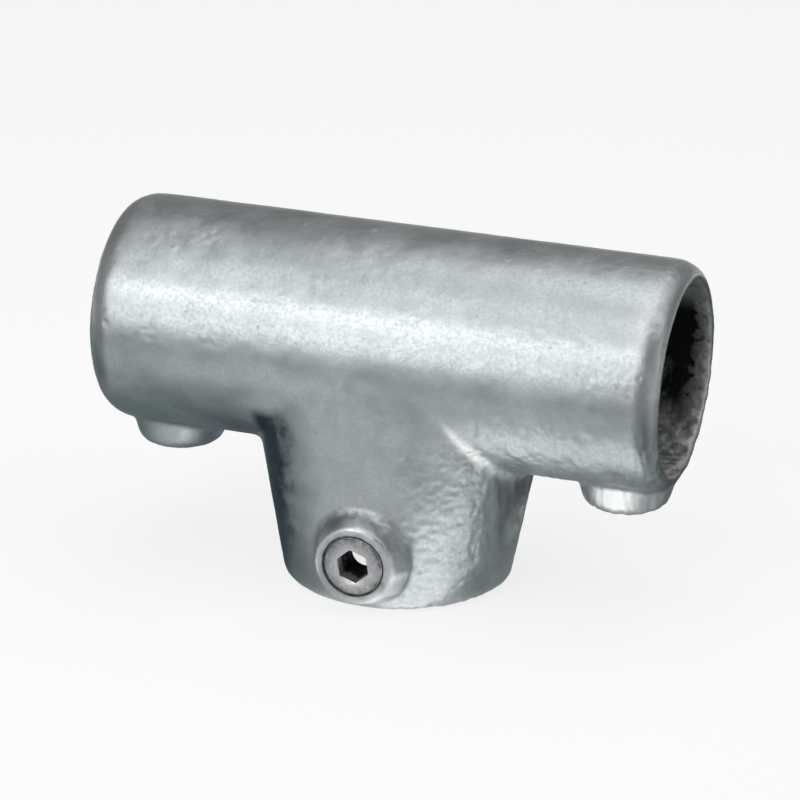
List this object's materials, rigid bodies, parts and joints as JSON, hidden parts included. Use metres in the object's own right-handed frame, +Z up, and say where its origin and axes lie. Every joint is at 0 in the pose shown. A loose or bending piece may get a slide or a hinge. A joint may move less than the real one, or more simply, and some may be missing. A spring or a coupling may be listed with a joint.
{
  "type": "tube clamp tee fitting",
  "caption": "Galvanised cast tee that clamps two in-line rails in its barrel and a post in its leg with hollow hexagon-socket set screws.",
  "frame": {"origin": "where the axis of the rail socket crosses the axis of the leg, in the middle of the barrel", "axes": "+X along the rail socket towards its right end, +Z up with the leg pointing down along -Z, and the leg's set screw facing -Y"},
  "size_m": [0.155, 0.0671, 0.0955],
  "materials": {
    "galvanised_casting": "hot-dip galvanised, satin, lightly mottled and rippled",
    "set_screw_steel": "plated steel, satin, a little dulled"
  },
  "bodies": {
    "fitting": {"casting": "galvanised_casting"},
    "left_screw": {"left_set_screw": "set_screw_steel"},
    "right_screw": {"right_set_screw": "set_screw_steel"},
    "leg_screw": {"leg_set_screw": "set_screw_steel"}
  },
  "joints": [
    {"name": "left_screw_travel", "type": "slide", "parent": "fitting", "child": "left_screw", "axis": [0, 0, -1], "range_m": [-0.008, 0.008]},
    {"name": "right_screw_travel", "type": "slide", "parent": "fitting", "child": "right_screw", "axis": [0, 0, -1], "range_m": [-0.008, 0.008]},
    {"name": "leg_screw_travel", "type": "slide", "parent": "fitting", "child": "leg_screw", "axis": [0, -1, 0], "range_m": [-0.008, 0.008]}
  ]
}
